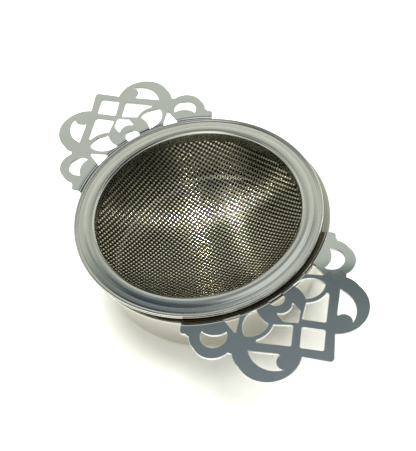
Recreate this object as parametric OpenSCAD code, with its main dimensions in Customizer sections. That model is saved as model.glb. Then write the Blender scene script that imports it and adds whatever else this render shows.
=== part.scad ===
// Two-handled tea strainer resting on its drip bowl.
// Millimetres, +Z up. The origin is the middle of the bowl's flat underside.
// The handles lie along X: wing_right towards +X, wing_left towards -X.

/* [Drip bowl] */
// height from the table to the top of the bowl's rim
bowl_h = 22; // [16:0.5:30]
// outer radius of the flat turned-out rim
bowl_rim_r = 37.2; // [34:0.1:42]
// inner radius of the bowl's mouth
bowl_mouth_r = 34.4; // [32:0.1:36]
// sheet thickness of the bowl
bowl_t = 0.8; // [0.5:0.1:1.5]
// outer radius of the rounded bottom corner
bowl_corner_r = 5.5; // [3:0.5:8]
// how much narrower the wall is at the bottom corner than at the rim
bowl_taper = 1.1; // [0:0.1:3]

/* [Rings] */
// outer radius of both rings
ring_r = 37; // [34:0.1:40]
// radius of the opening inside the upper ring
mouth_r = 30.6; // [27:0.1:33]
// depth of the upper ring's turned-down inner wall, from the ring's top
wall_h = 4; // [2:0.1:6]
// sheet thickness of the upper ring's wall
ring_t = 0.4; // [0.3:0.1:0.8]
// height of the raised bead above the flange beside it
bead_h = 0.38; // [0.1:0.02:0.6]

/* [Mesh bowl] */
// depth of the cloth's lowest point under the ring's top
mesh_depth = 16.6; // [10:0.1:20]
// thickness of the cloth, two wires at a crossing
mesh_t = 0.4; // [0.2:0.05:0.8]

/* [Wings] */
// thickness of the handle sheet
wing_t = 0.9; // [0.6:0.1:1.5]
// half of the angle each handle covers on the ring
wing_half_angle = 39.8; // [30:0.1:50]
// radius of the bend where the flat handle starts
bend_r = 38.8; // [38:0.05:41]
// how far the handle's flat top lies under the ring's top, before it is tipped
wing_drop = 0.95; // [0.3:0.05:2]
// upward tip of each handle
wing_tip = 2.3; // [0:0.1:5]
// size of the knot pattern against its drawing
knot_size = 0.988; // [0.9:0.004:1.1]

/* [Resting place] */
// how far the strainer sits off the bowl's middle, along X
sit_x = -1.65; // [-1.7:0.05:1.7]
// how far the strainer sits off the bowl's middle, along Y
sit_y = -1.1; // [-1.2:0.05:1.2]

/* [Hidden] */
$fn = 96;
e = 0.01;
// heights under the ring's top of the sandwiched layers
cloth_top = 0.6;
cloth_low = cloth_top + 0.3;
stack_low = cloth_low + 0.5;
strip_top = stack_low + 0.02;
strip_r = 33.6;
// the handle tips about this radius, so its inner strip drops by strip_sag
tip_r = ring_r - 0.2;
strip_sag = (tip_r - strip_r * cos(wing_half_angle)) * sin(wing_tip);
// height of the ring's top over the table
top_z = bowl_h + 0.03 + strip_top + wing_t + strip_sag;
// the bend and the angle where the sheet is cut, in the drawing's size
cut_r = bend_r / knot_size;
cut_x = cut_r * cos(wing_half_angle);
cut_y = cut_r * sin(wing_half_angle);
// spherical cap of the cloth's upper side
cloth_r = mouth_r + ring_t + 0.02;
cloth_edge = wall_h + 0.2;
cap_h = mesh_depth - cloth_edge;
cap_r = (cloth_r * cloth_r + cap_h * cap_h) / (2 * cap_h);

// a disc at a given place
module disc(x, y, r) {
    translate([x, y]) circle(r);
}

// a disc of the knot pattern, whose places and sizes are given in the drawing's size
module knot_disc(x, y, r) {
    disc(knot_size * x, knot_size * y, knot_size * r);
}

// unit vector from p towards q
function toward(p, q) = (q - p) / norm(q - p);
// half of the corner angle at p between its neighbours a and b
function half_corner(a, p, b) = acos(toward(p, a) * toward(p, b)) / 2;
// middle of the corner circle
function corner_mid(a, p, b, r) =
    p + toward([0, 0], toward(p, a) + toward(p, b)) * r / sin(half_corner(a, p, b));
// point where the corner circle meets the side from p towards q
function corner_end(a, p, b, q, r) = p + toward(p, q) * r / tan(half_corner(a, p, b));

// polygon with every corner rounded by the same radius, corners turning one way
module rounded(points, r) {
    n = len(points);
    polygon([
        for (i = [0 : n - 1])
            let (a = points[(i + n - 1) % n], p = points[i], b = points[(i + 1) % n])
            for (q = [a, b]) corner_end(a, p, b, q, r)
    ]);
    for (i = [0 : n - 1]) {
        mid = corner_mid(points[(i + n - 1) % n], points[i], points[(i + 1) % n], r);
        disc(mid[0], mid[1], r);
    }
}

// draws its child and the same child mirrored across the handle's middle line
module both_sides() {
    children();
    mirror([0, 1]) children();
}

// places a part of the strainer on the bowl, with its own zero at the ring's top
module on_bowl() {
    translate([sit_x, sit_y, top_z]) children();
}

// ---- drip bowl ----

// half section of the bowl's outside (grow = 0) or inside (grow = bowl_t)
module bowl_section(grow, top) {
    mid_r = bowl_mouth_r + bowl_t - bowl_taper - bowl_corner_r;
    low_r = mid_r + bowl_corner_r - grow;
    translate([0, grow]) square([mid_r, bowl_corner_r - grow]);
    disc(mid_r, bowl_corner_r, bowl_corner_r - grow);
    polygon([
        [0, bowl_corner_r],
        [low_r, bowl_corner_r],
        [low_r + bowl_taper, top],
        [0, top]
    ]);
}

module bowl_rim_section() {
    edge = bowl_t / 2;
    translate([bowl_mouth_r, bowl_h - bowl_t]) square([bowl_rim_r - edge - bowl_mouth_r, bowl_t]);
    disc(bowl_rim_r - edge, bowl_h - edge, edge);
}

module drip_bowl() {
    ease = 0.6;
    color([0.74, 0.74, 0.70])
    rotate_extrude()
    difference() {
        union() {
            bowl_section(0, bowl_h - bowl_t / 2);
            bowl_rim_section();
        }
        bowl_section(bowl_t, bowl_h);
        // the mouth's upper edge is eased
        difference() {
            translate([bowl_mouth_r - e, bowl_h - ease]) square(ease + e);
            disc(bowl_mouth_r + ease, bowl_h - ease, ease);
        }
        translate([-2 * bowl_rim_r, -e]) square([2 * bowl_rim_r, bowl_h]);
    }
}

// ---- upper ring ----

module rim_ring_section() {
    flange_z = -bead_h;
    difference() {
        union() {
            // flange and outer lip, the lip's edge rounded
            translate([mouth_r + 1, -cloth_top]) square([ring_r - mouth_r - 2, cloth_top - bead_h]);
            translate([ring_r - 1, -cloth_top]) square([0.75, cloth_top - 0.05]);
            disc(ring_r - 0.25, -0.3, 0.25);
            disc(ring_r - 0.25, -cloth_top + 0.25, 0.25);
            // bead and the wall turned down inside it
            disc(mouth_r + 1, -1, 1);
            translate([mouth_r + 1, -cloth_top]) square([1, cloth_top]);
            intersection() {
                disc(mouth_r + 2, -3.15, 3.15);
                translate([mouth_r + 2 - e, -cloth_top]) square([2.2, cloth_top]);
            }
            translate([mouth_r, -wall_h + ring_t / 2]) square([ring_t, wall_h - 1 - ring_t / 2]);
            disc(mouth_r + ring_t / 2, -wall_h + ring_t / 2, ring_t / 2);
        }
        // hollow behind the bead
        translate([mouth_r + ring_t, -wall_h]) square([4, wall_h - cloth_top]);
        // shallow groove inside the lip
        disc(ring_r - 1.05, flange_z + 0.2, 0.35);
    }
}

module rim_ring() {
    color([0.80, 0.80, 0.76])
    on_bowl() rotate_extrude() rim_ring_section();
}

// ---- lower ring ----

module clamp_ring() {
    wall_r = cloth_r + mesh_t + 0.03;
    layer = stack_low - cloth_low;
    color([0.70, 0.70, 0.66])
    on_bowl()
    rotate_extrude() {
        translate([wall_r, -stack_low]) square([ring_r - layer / 2 - wall_r, layer]);
        disc(ring_r - layer / 2, -stack_low + layer / 2, layer / 2);
        translate([wall_r, -wall_h + 0.2]) square([0.5, wall_h - 0.2 - cloth_low]);
    }
}

// ---- woven bowl, as a thin closed skin ----

module mesh_bowl() {
    color([0.35, 0.34, 0.28])
    on_bowl()
    rotate_extrude() {
        // flat edge between the rings
        translate([cloth_r, -cloth_low + 0.01]) square([ring_r - 1 - cloth_r, cloth_low - cloth_top - 0.02]);
        // short wall behind the upper ring's wall
        translate([cloth_r, -cloth_edge]) square([mesh_t, cloth_edge - cloth_top - 0.01]);
        // domed bottom
        intersection() {
            difference() {
                disc(0, cap_r - mesh_depth, cap_r + mesh_t);
                disc(0, cap_r - mesh_depth, cap_r);
            }
            translate([0, -mesh_depth - 2 * mesh_t]) square([cloth_r + mesh_t, cap_h + 2 * mesh_t]);
        }
    }
}

// ---- handles ----

// outline of the flat handle: two lobes a side and a pointed tip
module wing_outline() {
    both_sides() {
        knot_disc(32.2, 25.3, 1.2);
        knot_disc(37.8, 20.9, 5.5);
        knot_disc(39.5, 20.6, 5.8);
        knot_disc(49.5, 13.3, 6.9);
        knot_disc(51.5, 11.3, 8.9);
        polygon(knot_size * [
            [0, 0],
            [cut_x, cut_y],
            [31.3, 26.1],
            [34.3, 25.6],
            [45.6, 19.7],
            [52, 14],
            [58.1, 5.5],
            [63.6, 0.85],
            [63.6, 0]
        ]);
    }
    knot_disc(62.8, 0, 1.15);
}

// holes of the knot pattern that lie on one side of the middle line
module side_holes() {
    // lattice hole beside the tip
    difference() {
        rounded(knot_size * [[49.2, 1.5], [53.9, 5.8], [47.3, 12.2], [43.2, 8.6]], 0.4);
        knot_disc(40.5, 9.5, 6.65);
    }
    // fan
    difference() {
        intersection() {
            knot_disc(40.5, 9.5, 5.3);
            knot_disc(44.6, 7.6, 5.85);
            translate(knot_size * [38, 4]) square(12);
        }
        knot_disc(42, -0.5, 7.35);
    }
    // triangle that opens at the bend
    rounded(knot_size * [[34.9, 15.05], [41.8, 15.05], [37.4, 10.5]], 0.25);
    // crescent in the small lobe
    difference() {
        knot_disc(38.7, 20, 3.6);
        knot_disc(34.5, 16.5, 5.35);
    }
    // half-round window in the big lobe
    difference() {
        intersection() {
            knot_disc(51.3, 8.6, 7.45);
            rounded(knot_size * [[47.2, 16.3], [53.8, 9.7], [60, 9.7], [60, 18], [47.2, 18]], 0.3);
        }
        knot_disc(56.6, 9.6, 2.4);
    }
}

module wing_holes() {
    both_sides() side_holes();
    // square in the tip
    rounded(knot_size * [[51.1, 0], [55.7, 4.2], [60.2, 0], [55.7, -4.2]], 0.4);
    // bean behind it
    difference() {
        rounded(knot_size * [[49.5, 0], [46.8, 2.75], [43.6, 2.75], [43.6, -2.75], [46.8, -2.75]], 0.4);
        knot_disc(41.8, 0, 3.05);
    }
    // half-round notch that opens at the bend
    knot_disc(39.6, 0, 2.3);
}

// the flat handle outside the bend
module wing_plate() {
    translate([0, 0, -wing_drop - wing_t])
    linear_extrude(wing_t)
    difference() {
        wing_outline();
        circle(bend_r + 0.2);
    }
}

// strip under the rings and the step up to the bend, a little way into the flat handle
module wing_strip() {
    reach = bend_r + 0.5;
    rotate([0, 0, -wing_half_angle])
    rotate_extrude(angle = 2 * wing_half_angle)
    polygon([
        [strip_r, -strip_top],
        [tip_r, -strip_top],
        [bend_r, -wing_drop],
        [reach, -wing_drop],
        [reach, -wing_drop - wing_t],
        [bend_r, -wing_drop - wing_t],
        [ring_r, -strip_top - wing_t],
        [strip_r, -strip_top - wing_t]
    ]);
}

// the whole sheet, with the holes cut down to a little past the bend
module wing_sheet() {
    difference() {
        union() {
            wing_plate();
            wing_strip();
        }
        translate([0, 0, -6])
        linear_extrude(7)
        difference() {
            wing_holes();
            circle(bend_r - 0.45);
        }
    }
}

// one handle, tipped up about the ring's edge
module wing() {
    translate([tip_r, 0, -strip_top])
    rotate([0, -wing_tip, 0])
    translate([-tip_r, 0, strip_top])
    wing_sheet();
}

module wing_right() {
    color([0.62, 0.66, 0.69]) on_bowl() wing();
}

module wing_left() {
    color([0.62, 0.66, 0.69]) on_bowl() rotate([0, 0, 180]) wing();
}

drip_bowl();
rim_ring();
clamp_ring();
mesh_bowl();
wing_right();
wing_left();
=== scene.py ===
# %% [markdown]
# # A two-handled tea strainer on its drip bowl
# The strainer is a dome of woven steel wire held between two pressed rings, with two pierced handles
# that reach over the edge of a cup. Here it rests on its own shallow drip bowl. The CAD model gives the
# places and the main sizes, and this lesson makes each part's finished surface. The helpers that make
# sheet and wire take millimetres and turn them into metres, because thin steel is easier to think about
# in millimetres.

# %% Load the frame and measure it
import math
from functools import partial

import bmesh
import bpy
from mathutils import Matrix, Vector
from mathutils.geometry import delaunay_2d_cdt


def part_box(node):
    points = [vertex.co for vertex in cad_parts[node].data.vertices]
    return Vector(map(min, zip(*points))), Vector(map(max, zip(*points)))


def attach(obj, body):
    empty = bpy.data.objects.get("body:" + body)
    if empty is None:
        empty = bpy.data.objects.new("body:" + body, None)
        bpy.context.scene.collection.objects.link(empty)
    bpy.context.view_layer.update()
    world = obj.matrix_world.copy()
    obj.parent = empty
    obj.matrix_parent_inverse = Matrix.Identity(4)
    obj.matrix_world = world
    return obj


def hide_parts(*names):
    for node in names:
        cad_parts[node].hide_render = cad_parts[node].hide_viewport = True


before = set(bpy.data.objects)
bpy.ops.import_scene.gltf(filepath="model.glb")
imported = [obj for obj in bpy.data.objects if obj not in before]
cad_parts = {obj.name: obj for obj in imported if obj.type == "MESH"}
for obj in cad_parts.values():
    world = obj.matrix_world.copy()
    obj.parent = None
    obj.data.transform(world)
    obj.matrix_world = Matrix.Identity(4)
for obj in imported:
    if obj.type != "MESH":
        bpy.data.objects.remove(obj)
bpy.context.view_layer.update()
MM = 0.001
ring_low, ring_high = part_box("rim_ring")
bowl_low, bowl_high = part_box("drip_bowl")
ring_mid = Vector(((ring_low.x + ring_high.x) / 2, (ring_low.y + ring_high.y) / 2, ring_high.z))
ring_r = (ring_high.x - ring_low.x) / 2 / MM
bowl_r = (bowl_high.x - bowl_low.x) / 2 / MM
bowl_h = bowl_high.z / MM
print("ring radius", round(ring_r, 2), "bowl radius", round(bowl_r, 2), "bowl height", round(bowl_h, 2))

# %% [markdown]
# ## The camera
# It looks down on the strainer from the side of one handle, a little over half-way up the sky, and is
# rolled slightly so that the handles run across the view's diagonal. Its place is given from the
# middle of the ring, along its own three directions, so that it stays right if the ring moves.

# %% Camera
def make_camera(azimuth, elevation, roll, offset_mm, lens, shift):
    """A camera looking along an azimuth and elevation in degrees, placed by its own right, up and back."""
    a, e, r = (math.radians(v) for v in (azimuth, elevation, roll))
    back = Vector((math.sin(a) * math.cos(e), -math.cos(a) * math.cos(e), math.sin(e)))
    side = Vector((math.cos(a), math.sin(a), 0))
    right = side * math.cos(r) + back.cross(side) * math.sin(r)
    up = back.cross(right)
    data = bpy.data.cameras.new("camera")
    data.lens, data.sensor_width, data.sensor_fit = lens, 36, "AUTO"
    data.shift_x, data.shift_y = shift
    data.clip_start, data.clip_end = 0.01, 20
    cam = bpy.data.objects.new("camera", data)
    bpy.context.scene.collection.objects.link(cam)
    place = ring_mid + (right * offset_mm[0] + up * offset_mm[1] + back * offset_mm[2]) * MM
    turn = Matrix((right, up, back)).transposed().to_4x4()
    cam.matrix_world = Matrix.Translation(place) @ turn
    bpy.context.scene.camera = cam
    return cam


camera = make_camera(azimuth=62.895, elevation=52.4, roll=-9.19, offset_mm=(9.75, -5.6, 227.4),
                     lens=61.49, shift=(-0.0494, 0.0024))
print("camera at", [round(v, 4) for v in camera.location])

# %% [markdown]
# ## Helpers for node trees
# Shader trees and geometry trees are built the same way: add a node, set it, and link or fill its
# inputs. `add` does that in one call. `calc` is a Math node, `vector` is a Vector Math node and `xyz`
# takes a vector apart, and these three give back the outputs to build on.

# %% Node helpers
def add(tree, kind, inputs=None, **settings):
    """Adds a node, sets it, then links or fills its inputs, found by name or by number."""
    node = tree.nodes.new(kind)
    for key, value in settings.items():
        setattr(node, key, value)
    for key, value in (inputs or {}).items():
        if isinstance(value, bpy.types.NodeSocket):
            tree.links.new(value, node.inputs[key])
        else:
            node.inputs[key].default_value = value
    return node


def calc(tree, operation, *values):
    """The result of a Math node."""
    return add(tree, "ShaderNodeMath", dict(enumerate(values)), operation=operation).outputs[0]


def vector(tree, operation, *values, scale=None):
    """The result of a Vector Math node: a number for a length or a dot product, or else a vector."""
    inputs = dict(enumerate(values))
    if scale is not None:
        inputs["Scale"] = scale
    node = add(tree, "ShaderNodeVectorMath", inputs, operation=operation)
    return node.outputs["Value" if operation in ("LENGTH", "DOT_PRODUCT") else "Vector"]


def xyz(tree, value):
    """The three parts of a vector."""
    return add(tree, "ShaderNodeSeparateXYZ", {0: value}).outputs


print("node helpers:", add.__name__, calc.__name__, vector.__name__, xyz.__name__)

# %% [markdown]
# ## Steel surfaces
# Every piece is steel, so every finish starts from the same metal shader, and only colour, polish and
# fine marks differ. Colour and roughness never stay the same all over a real sheet, so each comes from
# soft noise that moves it between two values.

# %% Finish helpers
def steel(name):
    """A new metal material, its tree and its main shader."""
    material = bpy.data.materials.new(name)
    material.use_nodes = True
    tree = material.node_tree
    tree.nodes.clear()
    shader = add(tree, "ShaderNodeBsdfPrincipled", {"Metallic": 1.0})
    add(tree, "ShaderNodeOutputMaterial", {"Surface": shader.outputs[0]})
    return material, tree, shader


def noise(tree, place, scale, detail=2.0):
    """Noise from 0 to 1; scale is in cells to the metre on Object coordinates."""
    inputs = {"Vector": place, "Scale": scale, "Detail": detail}
    return add(tree, "ShaderNodeTexNoise", inputs).outputs["Fac"]


def spread(tree, value, low, high, start=0.3, end=0.7):
    """A value that goes from start to end, spread over low to high."""
    inputs = {"Value": value, "From Min": start, "From Max": end, "To Min": low, "To Max": high}
    return add(tree, "ShaderNodeMapRange", inputs).outputs[0]


def blend_colour(tree, fac, a, b):
    """Colour a where fac is 0, and colour b where it is 1."""
    node = add(tree, "ShaderNodeMix", {"Factor": fac}, data_type="RGBA")
    for socket, value in ((node.inputs[6], a), (node.inputs[7], b)):
        if isinstance(value, bpy.types.NodeSocket):
            tree.links.new(value, socket)
        else:
            socket.default_value = (*value, 1)
    return node.outputs[2]


def bump(tree, height, distance_mm, **inputs):
    """A normal that rises and falls with height."""
    inputs = {"Height": height, "Distance": distance_mm * MM, **inputs}
    return add(tree, "ShaderNodeBump", inputs).outputs[0]


def finish(tree, shader, **values):
    """Links a colour, a roughness and a normal into the shader."""
    for name, value in values.items():
        tree.links.new(value, shader.inputs[name.replace("_", " ")])


print("finish helpers:", steel.__name__, noise.__name__, spread.__name__, bump.__name__)

# %% [markdown]
# ## Spun and pressed steel
# Steel that was spun or pressed has very fine marks that run round its axis. They could be modelled as
# grooves, but they are far too fine, so they come from noise on a stretched space: it changes slowly
# round the axis, and quickly away from it. The direction is a unit vector and not an angle, so there
# is no seam. The marks stay very shallow, because deeper ones break a polished ring into speckles.

# %% Bowl, ring and clamp finishes
def polar(tree, middle):
    """A point's flat place from the middle, its radius and its height, in metres."""
    place = add(tree, "ShaderNodeTexCoord").outputs["Object"]
    axes = xyz(tree, vector(tree, "SUBTRACT", place, middle))
    flat = add(tree, "ShaderNodeCombineXYZ", {0: axes[0], 1: axes[1]}).outputs[0]
    return flat, vector(tree, "LENGTH", flat), axes[2]


def around(tree, middle, turns=6.0, fine=5000):
    """Coordinates that change slowly round the middle, and quickly outwards and downwards."""
    flat, radius, height = polar(tree, middle)
    unit = vector(tree, "SCALE", vector(tree, "NORMALIZE", flat), scale=turns)
    away = calc(tree, "MULTIPLY", calc(tree, "SUBTRACT", radius, height), fine)
    return vector(tree, "ADD", unit, add(tree, "ShaderNodeCombineXYZ", {2: away}).outputs[0])


def spun_steel(name, middle, light, dark, rough, marks_mm):
    """Steel between two colours and two roughnesses, with fine marks round its middle."""
    material, tree, shader = steel(name)
    line = noise(tree, around(tree, middle), 1.0, 3.0)
    place = add(tree, "ShaderNodeTexCoord").outputs["Object"]
    cloud = noise(tree, place, 60, 3.0)
    grit = noise(tree, place, 9000, 1.0)
    mixed = calc(tree, "ADD", calc(tree, "MULTIPLY", line, 0.6), calc(tree, "MULTIPLY", cloud, 0.4))
    height = calc(tree, "ADD", line, calc(tree, "MULTIPLY", grit, 0.3))
    finish(tree, shader,
           Base_Color=blend_colour(tree, spread(tree, cloud, 0, 1), light, dark),
           Roughness=spread(tree, mixed, *rough, start=0.35, end=0.65),
           Normal=bump(tree, height, marks_mm))
    return material


bowl_steel = spun_steel("bowl_steel", Vector(), light=(0.58, 0.57, 0.51), dark=(0.52, 0.51, 0.455),
                        rough=(0.16, 0.24), marks_mm=0.0001)
ring_steel = spun_steel("ring_steel", ring_mid, light=(0.68, 0.69, 0.67), dark=(0.63, 0.64, 0.62),
                        rough=(0.15, 0.22), marks_mm=0.00006)
clamp_steel = spun_steel("clamp_steel", ring_mid, light=(0.66, 0.65, 0.61), dark=(0.58, 0.57, 0.53),
                         rough=(0.14, 0.24), marks_mm=0.0002)
print("spun steels:", bowl_steel.name, ring_steel.name, clamp_steel.name)

# %% [markdown]
# ## Polished handles
# The handles are polished to a mirror on their faces, while their cut edges stay dull. Object normals
# tell the two apart: a cut edge faces sideways. The strip under the ring and a narrow line beside it
# are painted near black: painted shade from under the ring's lip, not a colour of the steel. The painted
# shade follows the ring, so it is a change of colour by the distance from the ring's middle, and needs no
# piece of its own.

# %% Mirror finish
# The near-black strip on the handles is painted shade from under the ring's lip; these are its radii.
SHADE_STRIP = (38.2, 38.6)  # radii between which the dark part ends
EDGE_DULLNESS = 0.22       # what a cut edge adds to the roughness


def mirror_steel(name, middle):
    """Polished sheet with dull cut edges, and painted shade under the ring and just beside it."""
    material, tree, shader = steel(name)
    place = add(tree, "ShaderNodeTexCoord").outputs
    cloud = noise(tree, place["Object"], 90, 3.0)
    haze = noise(tree, place["Object"], 900, 2.0)
    bright = blend_colour(tree, spread(tree, cloud, 0, 1), (0.68, 0.7, 0.71), (0.63, 0.65, 0.67))
    radius = calc(tree, "DIVIDE", polar(tree, middle)[1], MM)
    strip = spread(tree, radius, 1, 0, *SHADE_STRIP)
    upward = calc(tree, "ABSOLUTE", xyz(tree, place["Normal"])[2])
    cut = calc(tree, "LESS_THAN", upward, 0.5)
    rough = calc(tree, "ADD", spread(tree, haze, 0.03, 0.065), calc(tree, "MULTIPLY", cut, EDGE_DULLNESS))
    # The base colour turns near black where the ring's lip casts its painted shade.
    finish(tree, shader,
           Base_Color=blend_colour(tree, strip, bright, (0.07, 0.06, 0.04)),
           Roughness=rough,
           Normal=bump(tree, haze, 0.0004))
    return material


handle_steel = mirror_steel("handle_steel", ring_mid)
print("mirror steel:", handle_steel.name)

# %% [markdown]
# ## The dome of the cloth
# The cloth bulges down like the cap of a ball. The ball's radius follows from the cap's width at its
# edge and from its depth, and the wires lie a little outside the cap's inner side.

# %% Sizes of the dome and its wire
cloth_edge_r, cloth_edge_z = 31.02, -4.2
cloth_depth = 16.6
wire_r, pitch = 0.155, 0.8
wire_out = 0.2  # from the cap's inner side to the middle of the wires
cap_h = cloth_depth + cloth_edge_z
cap_r = (cloth_edge_r ** 2 + cap_h ** 2) / (2 * cap_h)
dome_r = cap_r + wire_out
dome_middle = ring_mid + Vector((0, 0, (cap_r - cloth_depth) * MM))
print("dome radius", round(dome_r, 2), "mm")

# %% [markdown]
# ## Drawn wire of the cloth
# Each wire keeps a bright steel colour on top where it crosses over its neighbour, and is painted near
# black where it dips under and on its underside, as painted shade between the wires. Two attributes
# made with the wires tell the finish where it is. `crown` is 1 on top of a crossing and -1 below it,
# and is compared with the side of the cloth that a point faces, so both sides work. `along` is the
# direction that the wire runs in. Rolled cloth has slightly flat crowns, which glitter together like
# small mirrors. Flat crowns would need many more faces, so the normal is straightened along the wire
# and turned away from the cloth on the crowns.

# %% Normal of a flat crown
STRAIGHTEN = 0.85  # how much of the wave along a wire is taken out of its normal
FLATTEN = 2.4      # how strongly a crown's normal is turned away from the cloth


def crown_normal(tree, normal, inward, facing, bared):
    """The wire's normal, straightened along the wire and flattened on the crowns."""
    along = add(tree, "ShaderNodeAttribute", attribute_name="along").outputs["Vector"]
    across = vector(tree, "CROSS_PRODUCT", along, inward)
    run = vector(tree, "NORMALIZE", vector(tree, "CROSS_PRODUCT", inward, across))
    lean = calc(tree, "MULTIPLY", vector(tree, "DOT_PRODUCT", normal, run), STRAIGHTEN)
    eased = vector(tree, "SUBTRACT", normal, vector(tree, "SCALE", run, scale=lean))
    side = calc(tree, "MULTIPLY", calc(tree, "SIGN", facing), calc(tree, "MULTIPLY", bared, FLATTEN))
    eased = vector(tree, "ADD", eased, vector(tree, "SCALE", inward, scale=side))
    return vector(tree, "NORMALIZE", eased)


print("wave left in the normals:", round(1 - STRAIGHTEN, 2))

# %% Wire finish
def wire_steel(name, middle, dip_shade, crest):
    """Wire that is crest coloured and flat where it crosses over, and painted near black as shade
    elsewhere.
    """
    material, tree, shader = steel(name)
    place = add(tree, "ShaderNodeTexCoord").outputs["Object"]
    normal = add(tree, "ShaderNodeNewGeometry").outputs["Normal"]
    streak = noise(tree, place, 2500, 2.0)
    cloud = noise(tree, place, 130, 3.0)
    inward = vector(tree, "NORMALIZE", vector(tree, "SUBTRACT", middle, place))
    facing = vector(tree, "DOT_PRODUCT", normal, inward)
    crown = add(tree, "ShaderNodeAttribute", attribute_name="crown").outputs["Fac"]
    bared = spread(tree, calc(tree, "MULTIPLY", crown, facing), 0, 1, 0.15, 0.6)
    tint = blend_colour(tree, spread(tree, cloud, 0, 1), crest, tuple(0.85 * v for v in crest))
    # Where a wire dips under its neighbour or turns its underside out, it is painted near black as shade.
    finish(tree, shader,
           Base_Color=blend_colour(tree, bared, dip_shade, tint),
           Roughness=spread(tree, streak, 0.14, 0.22),
           Normal=bump(tree, streak, 0.002, Normal=crown_normal(tree, normal, inward, facing, bared)))
    return material


# The near-black dip colour is painted shade between the wires.
wire_cloth = wire_steel("wire_cloth", dome_middle, dip_shade=(0.017, 0.016, 0.01), crest=(0.88, 0.85, 0.67))
print("wire finish:", wire_cloth.name)

# %% [markdown]
# ## Turned shapes
# The bowl and both rings are round, so each is one closed line of points turned about its axis. The
# line holds radius and height, and `arc` makes its rounded stretches. `lathe` turns the line into a
# skin. Only the sharp corners are then marked as sharp, so the arcs shade smoothly.

# %% Arc and mesh helpers
def arc(r, z, size, start, end, steps=8):
    """Points along an arc of radius size round (r, z), from one angle to another in degrees."""
    angles = [math.radians(start + (end - start) * i / steps) for i in range(steps + 1)]
    return [(r + size * math.cos(a), z + size * math.sin(a)) for a in angles]


def new_object(name, mesh):
    """An object at the origin that shows a mesh."""
    obj = bpy.data.objects.new(name, mesh)
    bpy.context.scene.collection.objects.link(obj)
    return obj


def finish_mesh(obj, material, angle=35):
    """Merges doubles, points the faces outwards and smooths all but the sharp edges."""
    mesh = obj.data
    bm = bmesh.new()
    bm.from_mesh(mesh)
    bmesh.ops.remove_doubles(bm, verts=bm.verts, dist=0.0005 * MM)
    bmesh.ops.recalc_face_normals(bm, faces=bm.faces)
    for face in bm.faces:
        face.smooth = True
    bm.to_mesh(mesh)
    bm.free()
    mesh.set_sharp_from_angle(angle=math.radians(angle))
    mesh.materials.append(material)


print("a quarter arc has", len(arc(0, 0, 1, 0, 90)), "points")

# %% Lathe
def lathe(name, line, middle, material, segments=256):
    """Turns a closed line of (radius, height) in millimetres about an upright axis at the middle."""
    verts, faces = [], []
    n = len(line)
    count = n * segments
    for i in range(segments):
        angle = 2 * math.pi * i / segments
        c, s = math.cos(angle), math.sin(angle)
        verts += [(middle.x + r * MM * c, middle.y + r * MM * s, middle.z + z * MM) for r, z in line]
        for j in range(n):
            a, b = i * n + j, i * n + (j + 1) % n
            faces.append((a, b, (b + n) % count, (a + n) % count))
    mesh = bpy.data.meshes.new(name)
    mesh.from_pydata(verts, [], faces)
    obj = new_object(name, mesh)
    finish_mesh(obj, material)
    print(name, len(obj.data.polygons), "faces")
    return obj


# %% [markdown]
# ## The drip bowl
# A shallow bowl pressed from sheet, with a flat bottom, a rounded corner, a wall that is almost upright
# and a flat rim turned outwards. Its line runs out along the bottom, up the outside, round the rim's
# edge and back down the inside.

# %% Drip bowl
sheet = 0.8
mouth, taper, corner = 34.4, 1.1, 5.5
under_round, lip_round = 0.5, 0.6
foot = mouth + sheet - taper - corner
wall_top = (foot + corner + taper * 0.97, bowl_h - sheet - under_round)
outside = [(0, 0)] + arc(foot, corner, corner, -90, 0, 16) + [wall_top]
under = arc(mouth + sheet + under_round, bowl_h - sheet - under_round, under_round, 180, 90, 5)
edge = arc(bowl_r - sheet / 2, bowl_h - sheet / 2, sheet / 2, -90, 90, 8)
lip = arc(mouth + lip_round, bowl_h - lip_round, lip_round, 90, 180, 6)
inner = arc(foot, corner, corner - sheet, 0, -90, 16) + [(0, sheet)]
bowl = lathe("bowl_skin", outside + under + edge + lip + inner, Vector(), bowl_steel)

# %% [markdown]
# ## The two rings
# The upper ring has a wall turned down inside, a broad raised bead, a narrow flange, a shallow groove
# and a lip. The lower ring is plainer and clamps the wire cloth from below. The cloth's edge between
# them takes the wires' near-black dip colour, so it shows as a dark line all the way round: painted
# shade in the gap between the rings. Heights are measured down from the ring's top.

# %% Upper ring
wall_mid, wall_half, wall_end = 30.8, 0.2, -3.8
bead_mid, bead_slope = 32.6, 3.15
rim_mid, rim_round = 36.75, 0.25
wall = arc(wall_mid, wall_end, wall_half, 0, -180, 6)
bead = arc(31.9, -1.0, 1.3, 180, 125, 6) + [(31.45, -0.1), (31.8, -0.035), (32.2, 0), (bead_mid, 0)]
slope = arc(bead_mid, -bead_slope, bead_slope, 87, 61.6, 7)
flange = [(34.3, -0.412), (35.5, -0.349)]
groove = arc(35.95, -0.18, 0.35, 220, 380, 8)
lip = [(36.3, -0.05)] + arc(rim_mid, -0.3, rim_round, 90, 0, 5) + arc(rim_mid, -0.35, rim_round, 0, -90, 5)
back = [(wall_mid + wall_half, -0.6)]
ring = lathe("upper_ring", wall + bead + slope + flange + groove + lip + back, ring_mid, ring_steel)

# %% Lower ring and the cloth's edge
shelf_low, collar_round = -1.4, 0.22
shelf = arc(rim_mid, -1.15, rim_round, 90, -90, 8) + [(32.2, shelf_low)]
bend = arc(32.2, shelf_low - rim_round, rim_round, 90, 180, 4)
collar = arc(31.7, -3.6, collar_round, 0, -180, 6) + [(31.7 - collar_round, -0.9)]
clamp = lathe("lower_ring", shelf + bend + collar, ring_mid, clamp_steel)
hem_in, hem_out, hem_top, hem_low = 31.2, 36.2, -0.62, -0.88
hem_line = [(hem_in, hem_top), (hem_out, hem_top), (hem_out, hem_low), (hem_in, hem_low)]
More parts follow.
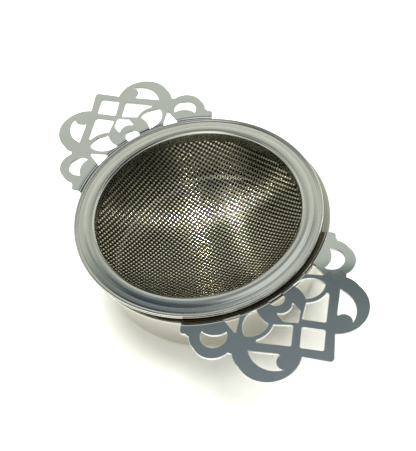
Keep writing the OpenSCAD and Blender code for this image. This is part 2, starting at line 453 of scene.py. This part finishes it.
# With no crown marks, the edge takes the wires' dip colour all over: painted shade between the rings.
hem = lathe("cloth_edge", hem_line, ring_mid, wire_cloth, 192)

# %% [markdown]
# ## The wire cloth
# The cloth is plain weave: every wire goes over one crossing wire and under the next. It could be a
# bump pattern on a smooth dome, but its gaps and its glitter come from round wires, so the wires are
# real. One geometry tree makes one family of wires. A flat grid loses its crossing edges, each point
# moves onto the dome, the wave lifts it over or under, and a round section is swept along. The same
# tree, turned a quarter turn and with the wave reversed, makes the other family.

# %% The tree and its inputs
WIRE_INPUTS = {"Wires": "Int", "Steps": "Int", "Pitch": "Float", "Wire Radius": "Float",
               "Dome Radius": "Float", "Edge Angle": "Float", "Run Up": "Float", "Wave": "Float",
               "Turn": "Float", "Looseness": "Float", "Seed": "Int", "Dome Middle": "Vector",
               "Material": "Material"}
woven_wires = bpy.data.node_groups.new("woven_wires", "GeometryNodeTree")
woven_wires.interface.new_socket("Geometry", in_out="OUTPUT", socket_type="NodeSocketGeometry")
for title, kind in WIRE_INPUTS.items():
    woven_wires.interface.new_socket(title, in_out="INPUT", socket_type="NodeSocket" + kind)
given = add(woven_wires, "NodeGroupInput").outputs
print("wire tree inputs:", ", ".join(WIRE_INPUTS))

# %% Straight lines on a flat grid
def flat_lines(tree):
    """A grid with two points to a crossing, and without the edges that run across the wires."""
    maths = partial(calc, tree)
    width = maths("MULTIPLY", maths("SUBTRACT", given["Wires"], 1.0), given["Pitch"])
    step = maths("MULTIPLY", given["Pitch"], 0.5)
    length = maths("MULTIPLY", maths("SUBTRACT", given["Steps"], 1.0), step)
    sizes = {"Size X": length, "Size Y": width, "Vertices X": given["Steps"], "Vertices Y": given["Wires"]}
    grid = add(tree, "GeometryNodeMeshGrid", sizes)
    ends = add(tree, "GeometryNodeInputMeshEdgeVertices").outputs
    gap = xyz(tree, vector(tree, "SUBTRACT", ends["Position 1"], ends["Position 2"]))[1]
    limits = {0: maths("ABSOLUTE", gap), 1: maths("MULTIPLY", given["Pitch"], 0.1)}
    crossing = add(tree, "FunctionNodeCompare", limits, operation="GREATER_THAN")
    chosen = {"Geometry": grid.outputs[0], "Selection": crossing.outputs[0]}
    return add(tree, "GeometryNodeDeleteGeometry", chosen, domain="EDGE", mode="EDGE_FACE").outputs[0]


lines = flat_lines(woven_wires)
print("nodes so far:", len(woven_wires.nodes))

# %% [markdown]
# ## From the flat grid to the dome
# A point's flat place is its distance along the wire and across the wires. Woven cloth can't stretch
# like rubber: when it is pressed into a dome its square meshes turn into diamonds, and they open a
# little towards the edge. The rule for that multiplies each distance by one plus the square of the
# other, divided by a share of the dome's own square. Beyond the dome's edge the wires run straight up
# between the rings. Each wire is also set off its place by a small random amount, as real ones are.

# %% The weave and the dome
OPENING = 2.2  # the smaller it is, the more the meshes open towards the edge


def weave(tree, flat):
    """How far a point is lifted by the weave, from -1 to 1, with crossings one pitch apart."""
    maths = partial(calc, tree)
    turns = [maths("DIVIDE", v, given["Pitch"]) for v in flat[:2]]
    return maths("MULTIPLY", *[maths("SINE", maths("MULTIPLY", v, math.pi)) for v in turns])


def loosened(tree, flat):
    """The distance across the wires, with each wire set off its place by a random amount."""
    maths = partial(calc, tree)
    number = maths("ROUND", maths("DIVIDE", flat[1], given["Pitch"]))
    limits = {"Min": -0.5, "Max": 0.5, "ID": number, "Seed": given["Seed"]}
    chance = add(tree, "FunctionNodeRandomValue", limits, data_type="FLOAT").outputs[1]
    most = maths("MULTIPLY", given["Looseness"], given["Pitch"])
    return maths("ADD", flat[1], maths("MULTIPLY", chance, most))


def on_dome(tree, flat, wave):
    """A point's place on the dome, and how far it runs up beyond the dome's edge."""
    maths = partial(calc, tree)
    dome, edge_angle = given["Dome Radius"], given["Edge Angle"]
    s, c = flat[0], loosened(tree, flat)
    share = maths("DIVIDE", 1.0, maths("MULTIPLY", maths("MULTIPLY", dome, dome), OPENING))
    x = maths("MULTIPLY", s, maths("MULTIPLY_ADD", maths("MULTIPLY", c, c), share, 1.0))
    y = maths("MULTIPLY", c, maths("MULTIPLY_ADD", maths("MULTIPLY", s, s), share, 1.0))
    reach = maths("SQRT", maths("ADD", maths("MULTIPLY", x, x), maths("MULTIPLY", y, y)))
    angle = maths("DIVIDE", reach, dome)
    bent = maths("MINIMUM", angle, edge_angle)
    up = maths("MULTIPLY", maths("MAXIMUM", maths("SUBTRACT", angle, edge_angle), 0.0), dome)
    lifted = maths("SUBTRACT", dome, maths("MULTIPLY", wave, given["Wave"]))
    radial = maths("MULTIPLY", lifted, maths("SINE", bent))
    height = maths("SUBTRACT", up, maths("MULTIPLY", lifted, maths("COSINE", bent)))
    parts = [maths("MULTIPLY", maths("DIVIDE", v, reach), radial) for v in (x, y)]
    return add(tree, "ShaderNodeCombineXYZ", dict(enumerate(parts + [height]))).outputs[0], up


flat_place = xyz(woven_wires, add(woven_wires, "GeometryNodeInputPosition").outputs[0])
wave = weave(woven_wires, flat_place)
dome_place, run_up = on_dome(woven_wires, flat_place, wave)
print("nodes so far:", len(woven_wires.nodes))

# %% [markdown]
# ## From lines to wires
# The lines lose what runs up too far, take the two attributes that the finish reads, move to their
# places on the dome and get a six-sided section. Six sides are enough for a wire this thin.

# %% Mark, move and sweep
def turned(tree, value):
    """A vector turned about the upright axis, so that one tree makes both families."""
    inputs = {"Vector": value, "Angle": given["Turn"]}
    return add(tree, "ShaderNodeVectorRotate", inputs, rotation_type="Z_AXIS").outputs[0]


def marked(tree, geometry, name, value, kind):
    """Keeps a value on every point, for the material to read."""
    inputs = {"Geometry": geometry, "Name": name, "Value": value}
    return add(tree, "GeometryNodeStoreNamedAttribute", inputs, domain="POINT", data_type=kind).outputs[0]


def wires(tree, geometry):
    """Trims, marks and moves the lines, and sweeps a round section along them."""
    beyond = add(tree, "FunctionNodeCompare", {0: run_up, 1: given["Run Up"]}, operation="GREATER_THAN")
    chosen = {"Geometry": geometry, "Selection": beyond.outputs[0]}
    trimmed = add(tree, "GeometryNodeDeleteGeometry", chosen, domain="POINT").outputs[0]
    crown = calc(tree, "MULTIPLY", wave, calc(tree, "SIGN", given["Wave"]))
    crowned = marked(tree, trimmed, "crown", crown, "FLOAT")
    ready = marked(tree, crowned, "along", turned(tree, (1, 0, 0)), "FLOAT_VECTOR")
    place = vector(tree, "ADD", turned(tree, dome_place), given["Dome Middle"])
    moved = add(tree, "GeometryNodeSetPosition", {"Geometry": ready, "Position": place})
    curves = add(tree, "GeometryNodeMeshToCurve", {"Mesh": moved.outputs[0]})
    size = {"Resolution": 6, "Radius": given["Wire Radius"]}
    section = add(tree, "GeometryNodeCurvePrimitiveCircle", size)
    sweep = {"Curve": curves.outputs[0], "Profile Curve": section.outputs[0], "Fill Caps": True}
    return add(tree, "GeometryNodeCurveToMesh", sweep).outputs[0]


def closed_with(tree, geometry):
    """Ends the tree with smooth shading, real geometry and a material."""
    smooth = add(tree, "GeometryNodeSetShadeSmooth", {"Geometry": geometry})
    real = add(tree, "GeometryNodeRealizeInstances", {"Geometry": smooth.outputs[0]})
    wear = {"Geometry": real.outputs[0], "Material": given["Material"]}
    coat = add(tree, "GeometryNodeSetMaterial", wear)
    add(tree, "NodeGroupOutput", {"Geometry": coat.outputs[0]})


closed_with(woven_wires, wires(woven_wires, lines))
print("wire tree has", len(woven_wires.nodes), "nodes")

# %% Run the tree for each family and keep plain meshes
def grown(name, tree, values):
    """Runs a geometry tree on an empty mesh and returns the result as a plain mesh object."""
    maker = new_object(name + "_maker", bpy.data.meshes.new(name + "_maker"))
    modifier = maker.modifiers.new("maker", "NODES")
    modifier.node_group = tree
    for item in tree.interface.items_tree:
        if item.in_out == "INPUT":
            modifier[item.identifier] = values[item.name]
    bpy.context.view_layer.update()
    graph = bpy.context.evaluated_depsgraph_get()
    mesh = bpy.data.meshes.new_from_object(maker.evaluated_get(graph))
    mesh.name = name
    bpy.data.objects.remove(maker)
    print(name, len(mesh.polygons), "faces", sum(len(p.vertices) - 2 for p in mesh.polygons), "triangles")
    return new_object(name, mesh)


wave_mm = 0.95 * wire_r
cloth = {"Wires": 96, "Steps": 220, "Pitch": pitch * MM, "Wire Radius": wire_r * MM,
         "Dome Radius": dome_r * MM, "Edge Angle": math.asin((cloth_edge_r + wire_out) / dome_r),
         "Run Up": 1.1 * MM, "Looseness": 0.08, "Dome Middle": dome_middle, "Material": wire_cloth}
warp_only = {"Wave": wave_mm * MM, "Turn": math.radians(66), "Seed": 3}
weft_only = {"Wave": -wave_mm * MM, "Turn": math.radians(66 + 90), "Seed": 8}
warp = grown("warp_wires", woven_wires, {**cloth, **warp_only})
weft = grown("weft_wires", woven_wires, {**cloth, **weft_only})

# %% [markdown]
# ## The handles
# The handles are cut from flat sheet and polished, so their faces are mirrors and their cut edges are
# slightly rounded. Their inner strip lies a short steep step lower, under the rings. A mirror shows
# every bad normal, so a bevel on the CAD mesh isn't good enough, and the sheet is built again from the
# CAD shape: a merged copy is laid flat, the outlines of its upper face are followed, the face inside
# them is filled with clean triangles, and a rounded edge is wrapped round every outline.

# %% Lay a copy of a CAD handle flat
strip_z, sheet_z = -1.42, -0.95  # upper side of the inner strip and of the sheet, under the ring's top
past_ring = 45                   # radius beyond which only the flat sheet is found
hinge = Vector((ring_r - 0.2, 0, strip_z))


def laid_flat(node):
    """A merged copy of the handle in millimetres from the ring's top middle, laid flat, and its tip."""
    bm = bmesh.new()
    bm.from_mesh(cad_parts[node].data)
    bmesh.ops.remove_doubles(bm, verts=bm.verts, dist=0.01 * MM)
    into_mm = Matrix.Scale(1 / MM, 4) @ Matrix.Translation(-ring_mid)
    bmesh.ops.transform(bm, matrix=into_mm, verts=bm.verts)
    bm.normal_update()
    uppers = [f for f in bm.faces if f.normal.z > 0.9 and f.calc_center_median().x > past_ring]
    top = max(uppers, key=lambda f: f.calc_area())
    tip = math.atan2(-top.normal.x, top.normal.z)
    lay = Matrix.Translation(hinge) @ Matrix.Rotation(tip, 4, "Y") @ Matrix.Translation(-hinge)
    bmesh.ops.transform(bm, matrix=lay, verts=bm.verts)
    bm.normal_update()
    return bm, tip


flat_handle, tip_angle = laid_flat("wing_right")
print("handle tipped", round(math.degrees(tip_angle), 2), "degrees")

# %% Follow its outlines
def outline_links(bm):
    """For each point on an edge between the upper face and a cut side, the next point round."""
    links = {}
    for edge in bm.edges:
        up = [f for f in edge.link_faces if f.normal.z > 0.5]
        cut = [f for f in edge.link_faces if abs(f.normal.z) < 0.5]
        if len(edge.link_faces) == 2 and len(up) == 1 and len(cut) == 1:
            here = next(corner for corner in up[0].loops if corner.edge == edge)
            links[here.vert] = here.link_loop_next.vert
    return links


def outlines(bm):
    """Closed loops of flat points round the upper face and its piercings."""
    links = outline_links(bm)
    loops = []
    while links:
        start, vert = next(iter(links.items()))
        del links[start]
        loop = [start]
        while vert is not start and vert in links:
            loop.append(vert)
            vert = links.pop(vert)
        if len(loop) > 5:
            loops.append([Vector((v.co.x, v.co.y)) for v in loop])
    return loops


cut_loops = outlines(flat_handle)
flat_handle.free()
print("outlines:", [len(loop) for loop in cut_loops], "points")

# %% Thin the outlines and move them into the sheet
sheet_thick, edge_round = 0.9, 0.16
least_step = 0.04   # points closer than this are left out
sharpest_miter = 0.6


def shrunk(loop, by):
    """The loop moved into the sheet, which lies on its left."""
    n, out = len(loop), []
    for i, p in enumerate(loop):
        a, b = (p - loop[i - 1]).normalized(), (loop[(i + 1) % n] - p).normalized()
        mid = a + b
        mid = Vector((-mid.y, mid.x)).normalized()
        out.append(p + mid * by / max(sharpest_miter, mid.dot(Vector((-a.y, a.x)))))
    return out


def thinned(loop, least):
    """Leaves out points that are closer than least to the one before."""
    out = [loop[0]]
    for p in loop[1:]:
        if (p - out[-1]).length > least:
            out.append(p)
    return out if (out[-1] - out[0]).length > least else out[:-1]


handle_loops = [shrunk(thinned(loop, least_step), edge_round) for loop in cut_loops]
print("after thinning:", [len(loop) for loop in handle_loops], "points")

# %% [markdown]
# ## The step beside the ring
# The sheet's height depends only on the distance from the ring's middle, because the step follows the
# ring. So its profile is a short list of radius, height and slope, and both the height and the normal
# of any point come from it. The bend lines are arcs, which the filling of the sheet has to follow.

# %% Profile of the sheet
PROFILE = [(0, strip_z, 0), (38.3, strip_z, 0), (38.5, -1.39, 22), (38.8, -1.12, 48), (38.95, -0.99, 30),
           (39.1, -0.955, 10), (39.3, sheet_z, 0), (90, sheet_z, 0)]


def sheet_at(r):
    """Height of the handle's upper side under the ring's top, and its slope in degrees."""
    for (r0, z0, s0), (r1, z1, s1) in zip(PROFILE, PROFILE[1:]):
        if r <= r1:
            t = (r - r0) / (r1 - r0)
            return z0 + (z1 - z0) * t, s0 + (s1 - s0) * t
    return sheet_z, 0


def upright(p):
    """The direction that the upper side faces at a flat point."""
    slope = math.radians(sheet_at(p.length)[1])
    flat = p.normalized() * -math.sin(slope)
    return Vector((flat.x, flat.y, math.cos(slope)))


print("step of", round(sheet_z - strip_z, 2), "mm between radius", PROFILE[1][0], "and", PROFILE[-2][0])

# %% Fill the outlines with triangles
def inside(point, loops):
    """Whether a point is in the sheet: inside the outline and not in a piercing."""
    odd = False
    for loop in loops:
        for i, q in enumerate(loop):
            p = loop[i - 1]
            if (p.y > point.y) != (q.y > point.y):
                if point.x < p.x + (point.y - p.y) * (q.x - p.x) / (q.y - p.y):
                    odd = not odd
    return odd


def filled(loops):
    """Flat points and triangles of the sheet, with triangle edges along its outlines and bends."""
    points, edges = [], []
    for loop in loops:
        first, n = len(points), len(loop)
        points += loop
        edges += [(first + i, first + (i + 1) % n) for i in range(n)]
    half_degrees = [math.radians(v / 2) for v in range(-90, 91)]
    for radius, _, _ in PROFILE[1:-1]:
        first = len(points)
        points += [Vector((radius * math.cos(a), radius * math.sin(a))) for a in half_degrees]
        edges += [(first + i, first + i + 1) for i in range(len(half_degrees) - 1)]
    flat, _, tris, *_ = delaunay_2d_cdt(points, edges, [], 0, 1e-5, False)
    tris = [t for t in tris if inside(sum((flat[i] for i in t), Vector((0, 0))) / 3, loops)]
    used = sorted({i for t in tris for i in t})
    number = {i: k for k, i in enumerate(used)}
    return [flat[i] for i in used], [[number[i] for i in t] for t in tris]


sheet_points, sheet_tris = filled(handle_loops)
print("sheet:", len(sheet_points), "points", len(sheet_tris), "triangles")

# %% Both faces and the rounded edge
def edge_steps(thick, ease):
    """Steps round the cut edge: how far out, how far down, and the angle that it faces."""
    turns = [math.radians(v) for v in (30, 60, 90)]
    upper = [(ease * math.sin(t), ease * (1 - math.cos(t)), t) for t in turns]
    lower = [(out, thick - down, math.pi - t) for out, down, t in reversed(upper)]
    return upper + lower


def outward(p, before, after):
    """The flat direction out of the sheet at a point, and how much further a corner reaches."""
    u, w = (p - before).normalized(), (after - p).normalized()
    out = Vector(((u + w).y, -(u + w).x)).normalized()
    return out, 1 / max(sharpest_miter, out.dot(Vector((u.y, -u.x))))


def solid_sheet(flat, tris, thick, ease):
    """Points, normals and faces of the whole sheet, still laid flat except for its step."""
    n, steps = len(flat), edge_steps(thick, ease)
    ups = [upright(p) for p in flat]
    tops = [sheet_at(p.length)[0] for p in flat]
    verts = [(p.x, p.y, z) for p, z in zip(flat, tops)]
    verts += [(p.x, p.y, z - thick) for p, z in zip(flat, tops)]
    normals = ups + [-up for up in ups]
    faces = [list(t) for t in tris] + [[i + n for i in reversed(t)] for t in tris]
    sides = {(t[i], t[(i + 1) % 3]) for t in tris for i in range(3)}
    after = {a: b for a, b in sides if (b, a) not in sides}
    before = {b: a for a, b in after.items()}
    columns = {}
    for a in after:
        out, miter = outward(flat[a], flat[before[a]], flat[after[a]])
        columns[a] = [a] + [len(verts) + k for k in range(len(steps))] + [a + n]
        for away, down, t in steps:
            x, y = (flat[a][i] + out[i] * miter * away for i in (0, 1))
            verts.append((x, y, tops[a] - down))
            normals.append((ups[a] * math.cos(t) + out.to_3d() * math.sin(t)).normalized())
    for a, b in after.items():
        pairs = list(zip(columns[a], columns[b]))
        faces += [[a1, b1, b0, a0] for (a0, b0), (a1, b1) in zip(pairs, pairs[1:])]
    return verts, normals, faces


sheet_verts, sheet_normals, sheet_faces = solid_sheet(sheet_points, sheet_tris, sheet_thick, edge_round)
print("solid sheet:", len(sheet_verts), "points", len(sheet_faces), "faces")

# %% [markdown]
# ## Placing the two handles
# Both handles are the same pressing, tipped up by the same angle, and the left one is turned half-way
# round. The points and the normals are turned together, so the mirror stays clean.

# %% Handles
def handle(name, side):
    """The sheet tipped up and placed on the right, where side is 1, or on the left, where it is -1."""
    turn = Matrix.Rotation(math.pi if side < 0 else 0, 3, "Z")
    tip = Matrix.Rotation(-tip_angle, 3, "Y")
    tipped = Matrix.Translation(hinge) @ tip.to_4x4() @ Matrix.Translation(-hinge)
    mesh = bpy.data.meshes.new(name)
    mesh.from_pydata(sheet_verts, [], sheet_faces)
    mesh.transform(Matrix.Translation(ring_mid) @ turn.to_4x4() @ Matrix.Scale(MM, 4) @ tipped)
    mesh.shade_smooth()
    mesh.normals_split_custom_set_from_vertices([turn @ tip @ n for n in sheet_normals])
    mesh.materials.append(handle_steel)
    print(name, len(mesh.polygons), "faces")
    return new_object(name, mesh)


right_handle = handle("right_handle", 1)
left_handle = handle("left_handle", -1)

# %% [markdown]
# ## Riding and slots
# Each piece rides on the CAD body it belongs to, stands for its CAD node and names its finish. The
# cloth's edge and both families of wires stand for the same CAD node.

# %% Attach the pieces
riders = (
    (bowl, "bowl", "drip_bowl", "bowl_steel"),
    (ring, "strainer", "rim_ring", "ring_steel"),
    (clamp, "strainer", "clamp_ring", "clamp_steel"),
    (hem, "strainer", "mesh_bowl", "wire_cloth"),
    (warp, "strainer", "mesh_bowl", "wire_cloth"),
    (weft, "strainer", "mesh_bowl", "wire_cloth"),
    (right_handle, "strainer", "wing_right", "handle_steel"),
    (left_handle, "strainer", "wing_left", "handle_steel"),
)
for piece, body, node, slot in riders:
    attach(piece, body)
    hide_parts(node)
print("pieces:", len(riders))

# %% [markdown]
# ## Floor
# The strainer stands on a plain pale floor, which lies a tenth of a millimetre low so that it never
# fights with the bowl's flat bottom.

# %% Floor
def make_floor(size=3.0, drop_mm=0.1):
    """A square floor; size is in metres."""
    mesh = bpy.data.meshes.new("floor")
    h = size / 2
    mesh.from_pydata([(-h, -h, 0), (h, -h, 0), (h, h, 0), (-h, h, 0)], [], [(0, 1, 2, 3)])
    material = bpy.data.materials.new("floor")
    material.use_nodes = True
    shader = material.node_tree.nodes["Principled BSDF"]
    shader.inputs["Base Color"].default_value = (0.9, 0.9, 0.86, 1)
    shader.inputs["Roughness"].default_value = 0.9
    shader.inputs["Specular IOR Level"].default_value = 0.1
    mesh.materials.append(material)
    floor = new_object("floor", mesh)
    floor.location.z = -drop_mm * MM
    return floor


print("floor:", make_floor().name)

# %% [markdown]
# ## Room
# Polished steel shows its surroundings more than itself. The room's walls are warm white and its
# ceiling is a darker blue grey, so that surfaces facing the walls look light, and the near handle,
# which faces the ceiling, looks slate coloured. The room is one ramp of colours by height over the
# horizon. Soft round patches laid over it stand for darker and brighter parts of the room, which give
# the ring its bands and the cloth its light and dark sides.

# %% Room helpers
def aimed(azimuth, elevation):
    """Unit vector at an angle from +X towards +Y, and a height over the horizon."""
    a, e = math.radians(azimuth), math.radians(elevation)
    return Vector((math.cos(a) * math.cos(e), math.sin(a) * math.cos(e), math.sin(e)))


def height_ramp(tree, way, stops):
    """A colour by height over the horizon; a stop is an angle in degrees and a colour."""
    height = calc(tree, "MULTIPLY", calc(tree, "ARCSINE", xyz(tree, way)[2]), 2 / math.pi)
    ramp = add(tree, "ShaderNodeValToRGB", {"Fac": height})
    points = ramp.color_ramp.elements
    for i, (degrees, colour) in enumerate(stops):
        if i > 1:
            points.new(degrees / 90)
        points[i].position, points[i].color = degrees / 90, (*colour, 1)
    return ramp.outputs[0]


def patched(tree, way, colour, patch):
    """The colour with one soft round patch laid over it; soft is the width of its fading edge."""
    azimuth, elevation, radius, soft, tint = patch
    near = vector(tree, "DOT_PRODUCT", way, aimed(azimuth, elevation))
    inner, outer = math.cos(math.radians(radius)), math.cos(math.radians(radius + soft))
    inputs = {"Value": near, "From Min": outer, "From Max": inner}
    fac = add(tree, "ShaderNodeMapRange", inputs, interpolation_type="SMOOTHSTEP")
    return blend_colour(tree, fac.outputs[0], colour, tint)


print("a quarter turn from +X is", [round(v) for v in aimed(90, 0)])

# %% Room
ROOM_STOPS = [
    (0, (0.95, 0.95, 0.86)), (25, (0.8, 0.8, 0.7)), (42, (0.7, 0.72, 0.62)), (51.8, (0.64, 0.67, 0.58)),
    (52.7, (0.15, 0.18, 0.18)), (56, (0.22, 0.26, 0.26)), (61, (0.27, 0.31, 0.32)), (90, (0.2, 0.23, 0.24)),
]
# Azimuth, elevation, radius and soft edge in degrees, then the colour
ROOM_PATCHES = [
    (-110, 64, 20, 14, (0.08, 0.1, 0.11)),
    (-135, 34, 8, 18, (0.3, 0.32, 0.27)),
    (-95, 45, 12, 12, (0.04, 0.04, 0.03)),
    (40, 42, 24, 18, (0.03, 0.03, 0.02)),
    (-50, 34, 12, 14, (1.4, 1.36, 1.2)),
    (80, 66, 16, 12, (0.85, 0.87, 0.8)),
]


def make_room(stops, patches):
    """A world from colours by height, with the patches laid over them in turn."""
    world = bpy.data.worlds.new("room")
    bpy.context.scene.world = world
    world.use_nodes = True
    tree = world.node_tree
    tree.nodes.clear()
    way = add(tree, "ShaderNodeTexCoord").outputs["Generated"]
    colour = height_ramp(tree, way, stops)
    for patch in patches:
        colour = patched(tree, way, colour, patch)
    back = add(tree, "ShaderNodeBackground", {"Color": colour, "Strength": 1.0})
    add(tree, "ShaderNodeOutputWorld", {"Surface": back.outputs[0]})


make_room(ROOM_STOPS, ROOM_PATCHES)
print("room:", len(ROOM_STOPS), "stops", len(ROOM_PATCHES), "patches")

# %% [markdown]
# ## Lamps
# Two large lamps give soft shadows. They are left out of reflections, because the room already has
# what the steel should mirror. Two small lamps make the cloth glow, and they are linked to the wires
# alone, because on the polished rings they would wash out the bands.

# %% Lamps
def make_lamp(name, azimuth, elevation, distance, size, watts, colour=(1, 1, 1), only=()):
    """A round lamp aimed at the bowl, in metres. With only=, it lights and shines in those pieces alone."""
    away = aimed(azimuth, elevation)
    data = bpy.data.lights.new(name, "AREA")
    data.shape, data.size, data.energy, data.color = "DISK", size, watts, colour
    lamp = bpy.data.objects.new(name, data)
    bpy.context.scene.collection.objects.link(lamp)
    lamp.location = Vector((0, 0, 0.015)) + away * distance
    lamp.rotation_mode = "QUATERNION"
    lamp.rotation_quaternion = away.to_track_quat("Z", "Y")
    lamp.visible_glossy = bool(only)
    if only:
        lit = bpy.data.collections.new(name + "_lights")
        for piece in only:
            lit.objects.link(piece)
        lamp.light_linking.receiver_collection = lit
    return lamp


cloth_wires = (warp, weft)
lamps = [
    make_lamp("key", 145, 72, distance=0.9, size=0.8, watts=16),
    make_lamp("fill", -60, 60, distance=1.0, size=0.7, watts=3),
    make_lamp("spot", -155.4, 60.2, 0.9, size=0.05, watts=3.2, colour=(1, 0.96, 0.84), only=cloth_wires),
    make_lamp("window", 151, 75.4, 0.9, size=0.12, watts=4.5, colour=(1, 0.94, 0.78), only=cloth_wires),
]
bpy.context.scene.view_settings.view_transform = "Standard"
print("lamps:", [lamp.name for lamp in lamps])
